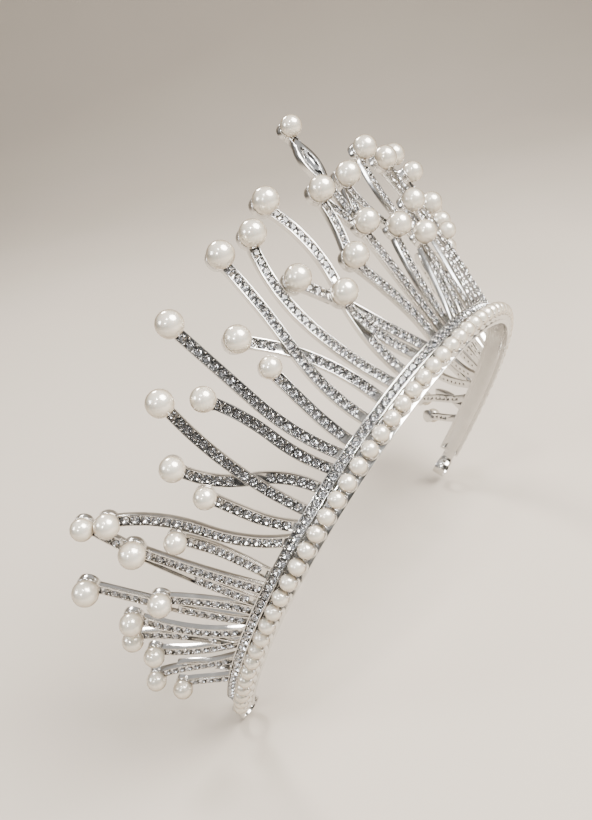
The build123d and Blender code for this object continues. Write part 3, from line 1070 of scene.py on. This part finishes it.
def lay_floor(scene):
    """A floor under the lowest metal and pearls, which bends up into a wall at the back."""
    lowest = min(
        vertex.co.dot(STAGE_UP)
        for name in METAL_NODES + ["tip_pearls"]
        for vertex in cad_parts[name].data.vertices
    )
    far = (-CAMERA_BACK - STAGE_UP * (-CAMERA_BACK).dot(STAGE_UP)).normalized()
    across = STAGE_UP.cross(far).normalized()
    shape = bmesh.new()
    rows = []
    for step in range(FLOOR_STEPS + 1):
        run = FLOOR_START + FLOOR_STEP * step
        bend = min(max((run - FLOOR_FLAT) / FLOOR_BEND, 0.0), PI / 2)
        wall = max(0.0, run - FLOOR_FLAT - FLOOR_BEND * PI / 2)
        height = lowest - FLOOR_GAP + FLOOR_BEND * (1 - math.cos(bend)) + wall
        reach = min(run, FLOOR_FLAT) + FLOOR_BEND * math.sin(bend)
        row = []
        for lane in range(FLOOR_LANES + 1):
            aside = FLOOR_HALF_WIDTH * (2 * lane / FLOOR_LANES - 1)
            row.append(shape.verts.new(far * reach + across * aside + STAGE_UP * height))
        rows.append(row)
    for low, high in zip(rows, rows[1:]):
        for number in range(FLOOR_LANES):
            after = number + 1
            shape.faces.new((low[number], high[number], high[after], low[after]))
    shape.normal_update()
    if sum(face.normal.dot(STAGE_UP) for face in shape.faces) < 0:
        bmesh.ops.reverse_faces(shape, faces=shape.faces)
    for face in shape.faces:
        face.smooth = True
    mesh = bpy.data.meshes.new("floor")
    shape.to_mesh(mesh)
    shape.free()
    floor = bpy.data.objects.new("floor", mesh)
    floor.data.materials.append(floor_material())
    scene.collection.objects.link(floor)


def place_camera(scene):
    data = bpy.data.cameras.new("camera")
    data.sensor_fit = "VERTICAL"
    data.sensor_height = CAMERA_SENSOR
    data.lens = CAMERA_LENS
    data.clip_start = CAMERA_CLIP
    camera = bpy.data.objects.new("camera", data)
    matrix = Matrix((CAMERA_RIGHT, CAMERA_UP, CAMERA_BACK)).transposed().to_4x4()
    matrix.translation = CAMERA_PLACE
    camera.matrix_world = matrix
    scene.collection.objects.link(camera)
    scene.camera = camera


def hang_lamps(scene):
    """Round lamps that shine at one point of the tiara."""
    side = STAGE_UP.cross(CAMERA_BACK).normalized()
    front = side.cross(STAGE_UP).normalized()
    for name, (high, aside, ahead), size, power, tone in LAMPS:
        light = bpy.data.lights.new(name, "AREA")
        light.shape = "DISK"
        light.size = size
        light.energy = power
        light.color = tone
        lamp = bpy.data.objects.new(name, light)
        place = STAGE_UP * high + side * aside + front * ahead
        turn = place.to_track_quat("Z", "Y").to_matrix().to_4x4()
        lamp.matrix_world = Matrix.Translation(LAMP_TARGET + place) @ turn
        scene.collection.objects.link(lamp)


def along_direction(nodes, links, place, direction):
    """The cosine between where the world is looked up and a direction."""
    product = nodes.new("ShaderNodeVectorMath")
    product.operation = "DOT_PRODUCT"
    product.inputs[1].default_value = direction
    links.new(place, product.inputs[0])
    return product.outputs["Value"]


def light_world(scene):
    """A studio that is bright above and dark below, with the dark patch towards the camera."""
    world = bpy.data.worlds.new("studio")
    world.use_nodes = True
    nodes, links = world.node_tree.nodes, world.node_tree.links
    background = nodes["Background"]
    place = nodes.new("ShaderNodeTexCoord").outputs["Generated"]
    ramp = nodes.new("ShaderNodeValToRGB")
    stops = ramp.color_ramp.elements
    stops.new(STUDIO_LEVELS[1][0])
    for stop, (level, tone) in zip(stops, STUDIO_LEVELS):
        stop.position = level
        stop.color = tone
    spread = nodes.new("ShaderNodeMapRange")
    spread.inputs["From Min"].default_value = -1.0
    spread.inputs["From Max"].default_value = 1.0
    links.new(along_direction(nodes, links, place, STAGE_UP), spread.inputs["Value"])
    links.new(spread.outputs["Result"], ramp.inputs["Fac"])
    shade = nodes.new("ShaderNodeMapRange")
    shade.interpolation_type = "SMOOTHSTEP"
    shade.inputs["From Min"].default_value = PATCH_COSINES[0]
    shade.inputs["From Max"].default_value = PATCH_COSINES[1]
    shade.inputs["To Min"].default_value = 1.0
    shade.inputs["To Max"].default_value = PATCH_LEVEL
    links.new(along_direction(nodes, links, place, CAMERA_BACK), shade.inputs["Value"])
    dim = nodes.new("ShaderNodeVectorMath")
    dim.operation = "SCALE"
    links.new(ramp.outputs["Color"], dim.inputs[0])
    links.new(shade.outputs["Result"], dim.inputs["Scale"])
    links.new(dim.outputs["Vector"], background.inputs["Color"])
    background.inputs["Strength"].default_value = STUDIO_STRENGTH
    scene.world = world


class TIARA_OT_stage(bpy.types.Operator):
    """Lays the floor, hangs the lights and places the camera"""

    bl_idname = "tiara.stage"
    bl_label = "Stage"

    def execute(self, context):
        scene = context.scene
        lay_floor(scene)
        place_camera(scene)
        hang_lamps(scene)
        light_world(scene)
        scene.view_settings.view_transform = "AgX"
        scene.view_settings.look = "AgX - Medium High Contrast"
        return {"FINISHED"}


OPERATORS = (
    TIARA_OT_metal,
    TIARA_OT_stones,
    TIARA_OT_grains,
    TIARA_OT_pearls,
    TIARA_OT_spear_crystal,
    TIARA_OT_stage,
)


class TIARA_PT_panel(bpy.types.Panel):
    """Lists the sizes, the finishes and the steps of the tiara"""

    bl_idname = "TIARA_PT_panel"
    bl_label = "Tiara"
    bl_space_type = "VIEW_3D"
    bl_region_type = "UI"
    bl_category = "Tiara"

    def draw(self, context):
        layout = self.layout
        for group in (context.scene.tiara_sizes, context.scene.tiara_finishes):
            column = layout.column(align=True)
            for label in group.bl_rna.properties.keys():
                if label not in {"rna_type", "name"}:
                    column.prop(group, label)
        for operator in OPERATORS:
            layout.operator(operator.bl_idname)


CLASSES = (TiaraSizes, TiaraFinishes) + OPERATORS + (TIARA_PT_panel,)


def register():
    for entry in CLASSES:
        bpy.utils.register_class(entry)
    bpy.types.Scene.tiara_sizes = PointerProperty(type=TiaraSizes)
    bpy.types.Scene.tiara_finishes = PointerProperty(type=TiaraFinishes)


def unregister():
    del bpy.types.Scene.tiara_finishes
    del bpy.types.Scene.tiara_sizes
    for entry in reversed(CLASSES):
        bpy.utils.unregister_class(entry)


def main():
    register()
    bpy.ops.tiara.metal()
    bpy.ops.tiara.stones()
    bpy.ops.tiara.grains()
    bpy.ops.tiara.pearls()
    bpy.ops.tiara.spear_crystal()
    bpy.ops.tiara.stage()


if __name__ == "__main__":
    main()
